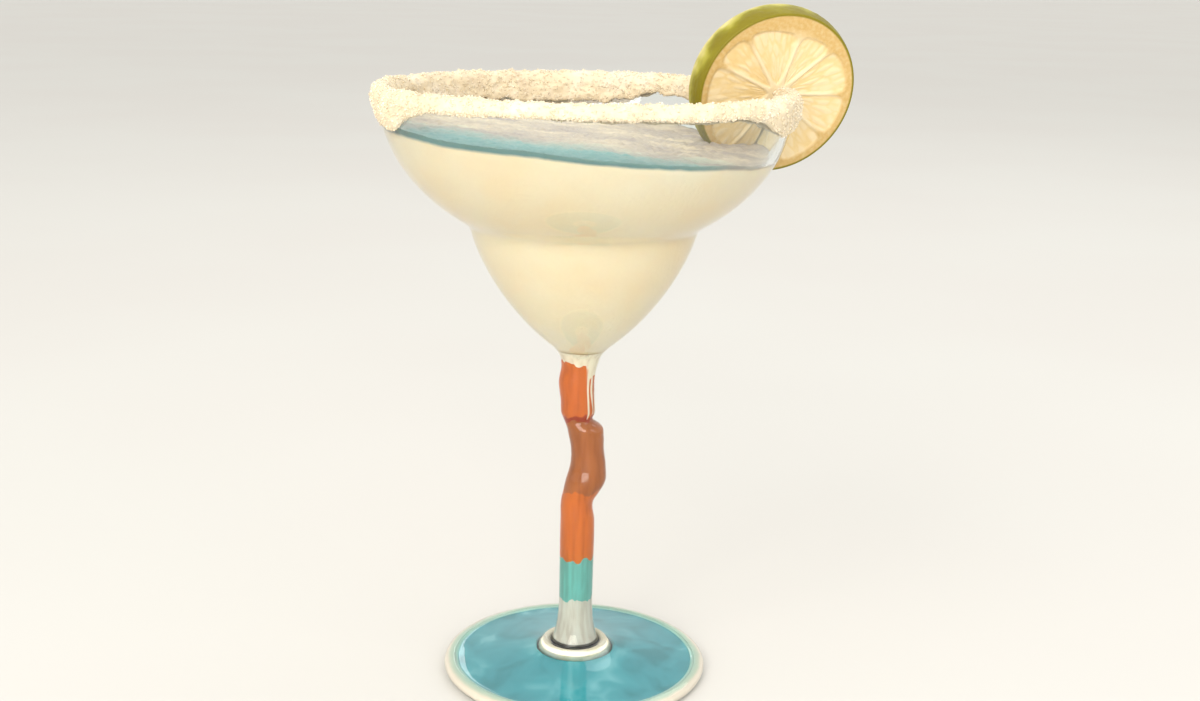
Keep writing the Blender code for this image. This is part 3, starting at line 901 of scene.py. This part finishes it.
def glass_side_point(azimuth, s):
    """Where the crust grips the rim and the wall, from the outer edge (0) to the inner (1)."""
    outer = s < 0.5
    sign = 1 if outer else -1
    t = abs(s - 0.5) * 2
    if t < UNDER_RIM:
        a = t / UNDER_RIM * math.pi / 2
        reach = WALL / 2 - CRUST_INTO_GLASS
        radius = rim_middle + sign * reach * math.sin(a)
        return at_azimuth(radius, azimuth, rim_start + reach * math.cos(a))
    drop = skirt_drop(azimuth, outer) + ragged(azimuth, outer)
    height = rim_start - (t - UNDER_RIM) / (1 - UNDER_RIM) * (drop - WALL / 2)
    wall = outer_wall if outer else inner_wall
    radius = float(radius_at(wall, height)) - sign * CRUST_INTO_GLASS
    return at_azimuth(radius, azimuth, height)


def press_crust():
    """Rings round the rim: over the open side, then back along the glass."""
    azimuths = np.linspace(0, 2 * math.pi, CRUST_TURNS, endpoint=False)
    rings = [[lumpy_point(a, s) for a in azimuths] for s in np.linspace(0, 1, 48)]
    rings += [[glass_side_point(a, s) for a in azimuths] for s in np.linspace(1, 0, 18)]
    return skin("salt_crust", rings[::-1], loop=True)


def scatter_grains():
    """Loose grains: small uneven blocks stuck at all angles to the crust."""
    draw = random.Random(7)
    points, faces = [], []
    to_lime = lime_place.inverted()
    corners = [(x, y, z) for x in (-1, 1) for y in (-1, 1) for z in (-1, 1)]
    highlight_over_gathers = ((0, 1, 3, 2), (4, 6, 7, 5), (0, 4, 5, 1), (2, 3, 7, 6), (0, 2, 6, 4), (1, 5, 7, 3))
    while len(faces) < GRAIN_COUNT * 6:
        azimuth, s = draw.uniform(0, 2 * math.pi), draw.uniform(0.0, 1.0)
        radius, height, (out, up) = crust_point(azimuth, s)
        place = Vector(at_azimuth(radius, azimuth, height))
        lift = lump_at(place, s) + GRAIN_LIFT
        place += lift * Vector(at_azimuth(out, azimuth, up))
        size = draw.uniform(*GRAIN_SIZES) / 2
        turn = Matrix.Rotation(draw.uniform(0, 6.3), 3, draw_axis(draw))
        local = to_lime @ place
        if abs(local.z) < LIME_THICKNESS / 2 + size and local.xy.length < LIME_RADIUS + size:
            continue
        stretch = Vector((1, draw.uniform(0.7, 1), draw.uniform(0.6, 1))) * size
        start = len(points)
        for corner in corners:
            points.append(place + turn @ Vector([c * w for c, w in zip(corner, stretch)]))
        faces += [tuple(start + i for i in side) for side in highlight_over_gathers]
    mesh = bpy.data.meshes.new("salt_grains")
    mesh.from_pydata(points, [], faces)
    piece = bpy.data.objects.new("salt_grains", mesh)
    bpy.context.scene.collection.objects.link(piece)
    return piece


def draw_axis(draw):
    """A direction drawn at random, for a grain to turn about."""
    return Vector([draw.gauss(0, 1) for _ in range(3)]).normalized()


def bar_salt(name, gloss):
    """Coarse bar salt: off-white, each grain about half a millimetre, matt in the mass
    and glassy one by one, with a warm cast from the lime juice that holds it."""
    made, shader = finish_of(name)
    where = put(made, "TexCoord").outputs["Object"]
    damp = put(made, "TexNoise", {"Vector": where, "Scale": 1 / (8 * MM), "Detail": 3.0})
    stops = ((0.34, "#cfbfa4"), (0.5, "#d7c8ab"), (0.64, "#dbceb7"))
    colour = put(made, "ValToRGB", {"Fac": damp.outputs[0]}, stops=stops)
    grit = put(made, "TexVoronoi", {"Vector": where, "Scale": 1 / (0.5 * MM)})
    bump = {"Height": grit.outputs["Distance"], "Strength": 0.3, "Distance": 0.12 * MM}
    rough = put(made, "Bump", bump)
    feed(made, shader, Base_Color=colour.outputs[0], Normal=rough.outputs[0])
    shader.inputs["Roughness"].default_value = gloss
    shader.inputs["IOR"].default_value = 1.54
    shader.inputs["Subsurface Weight"].default_value = 0.3
    shader.inputs["Subsurface Radius"].default_value = (1.0, 0.9, 0.75)
    shader.inputs["Subsurface Scale"].default_value = 1 * MM
    return made


outer_wall = bowl_outside()
inner_wall = bowl_inside(WALL)
crust = press_crust()
cut_away(crust, lime_disc("crust_gap", -0.1 * MM))
crust.data.materials.append(bar_salt("salt_in_mass", 0.6))
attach(crust, "root")
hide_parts("salt_rim")
grains = scatter_grains()
grains.data.materials.append(bar_salt("salt_by_grain", 0.25))
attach(grains, "root")

# The setting. A plain pale floor that runs far back, a large low light in front,
# three weaker ones round it, a small one for a glint on the foot, and the camera.
FLOOR_RADIUS = 60
LIGHTS_AIM = (0, 0, 0.11)
CAMERA_PLACE = (0, -0.428, 0.206)
CAMERA_DOWN = math.radians(14.24)
CAMERA_RIGHT = math.radians(0.72)
CAMERA_ROLL = math.radians(1.46)
LENS_MM = 46.4


def pale_floor():
    """Matt painted board, with faint clouds of tone."""
    made, shader = finish_of("pale_floor")
    where = put(made, "TexCoord").outputs["Object"]
    faint = put(made, "TexNoise", {"Vector": where, "Scale": 3.0, "Detail": 2.0})
    stops = ((0.4, "#c8c6c2"), (0.6, "#c9c8c4"))
    colour = put(made, "ValToRGB", {"Fac": faint.outputs[0]}, stops=stops)
    feed(made, shader, Base_Color=colour.outputs[0])
    shader.inputs["Roughness"].default_value = 0.6
    return made


def soft_light(name, place, size, power, colour):
    """A round studio light, its diameter in metres, aimed at the lower bowl."""
    light = bpy.data.lights.new(name, "AREA")
    light.shape = "DISK"
    light.size = size
    light.energy = power
    light.color = linear(colour)[:3]
    lamp = bpy.data.objects.new(name, light)
    lamp.location = place
    aim = Vector(LIGHTS_AIM) - Vector(place)
    lamp.rotation_euler = aim.to_track_quat("-Z", "Y").to_euler()
    bpy.context.scene.collection.objects.link(lamp)


floor = skin("floor", [ring_at(0, 0), ring_at(FLOOR_RADIUS, 0)])
floor.data.materials.append(pale_floor())
soft_light("front", (-0.25, -1.3, 0.42), 1.2, 20, "#fffaf2")
soft_light("key", (-0.7, -0.9, 1.1), 0.8, 6, "#fffaf2")
soft_light("fill", (1.1, -0.6, 0.7), 0.9, 3, "#f6faff")
soft_light("back", (0.5, 0.8, 1.3), 1.1, 4, "#ffffff")
soft_light("glint", (-0.13, 1.0, 0.5), 0.12, 0.1, "#ffffff")
world = bpy.data.worlds.new("studio")
world.use_nodes = True
world.node_tree.nodes["Background"].inputs["Color"].default_value = linear("#fffdf8")
world.node_tree.nodes["Background"].inputs["Strength"].default_value = 1.12
bpy.context.scene.world = world
bpy.context.scene.view_settings.view_transform = "Standard"

camera_data = bpy.data.cameras.new("camera")
camera_data.lens = LENS_MM
camera_data.sensor_width = 36
camera_data.clip_start = 0.01
camera = bpy.data.objects.new("camera", camera_data)
turn = Matrix.Rotation(-CAMERA_RIGHT, 4, "Z") @ Matrix.Rotation(math.pi / 2 - CAMERA_DOWN, 4, "X")
camera.matrix_world = Matrix.Translation(CAMERA_PLACE) @ turn @ Matrix.Rotation(CAMERA_ROLL, 4, "Z")
bpy.context.scene.collection.objects.link(camera)
bpy.context.scene.camera = camera
